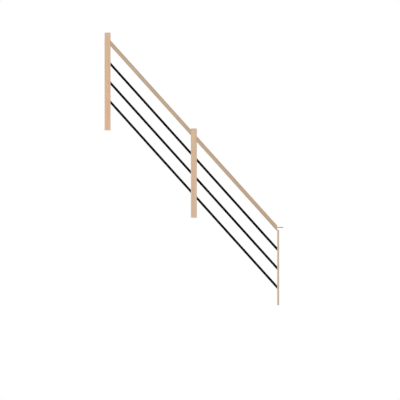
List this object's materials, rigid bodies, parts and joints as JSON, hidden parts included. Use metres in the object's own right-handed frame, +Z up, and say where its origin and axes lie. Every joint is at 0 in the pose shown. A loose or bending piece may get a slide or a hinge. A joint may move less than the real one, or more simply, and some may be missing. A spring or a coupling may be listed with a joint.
{
  "type": "stair balustrade panel",
  "caption": "Sloping stair balustrade panel: square timber posts on treads, a timber handrail, slim black bars parallel to it, and a thin end batten with a fixing bolt above it.",
  "frame": {"origin": "centre of the middle post's foot, on the tread it stands on", "axes": "+Z up, +X down the stair towards the end batten, +Y through the panel, away from the viewer of the picture"},
  "size_m": [1.79, 0.06, 2.7257],
  "materials": {
    "post_wood": "satin clear lacquer on pale beech",
    "handrail_wood": "satin clear lacquer on slightly darker beech",
    "bar_black": "fine-textured matt black powder coat",
    "bolt_zinc": "zinc plated"
  },
  "bodies": {
    "root": {"upper_post": "post_wood", "middle_post": "post_wood", "end_batten": "post_wood", "upper_handrail": "handrail_wood", "lower_handrail": "handrail_wood", "upper_bay_bar_1": "bar_black", "upper_bay_bar_2": "bar_black", "upper_bay_bar_3": "bar_black", "lower_bay_bar_1": "bar_black", "lower_bay_bar_2": "bar_black", "lower_bay_bar_3": "bar_black", "upper_post_plug": "post_wood", "middle_post_uphill_plug": "post_wood", "middle_post_downhill_plug": "post_wood", "handrail_bolt": "bolt_zinc"}
  },
  "joints": []
}
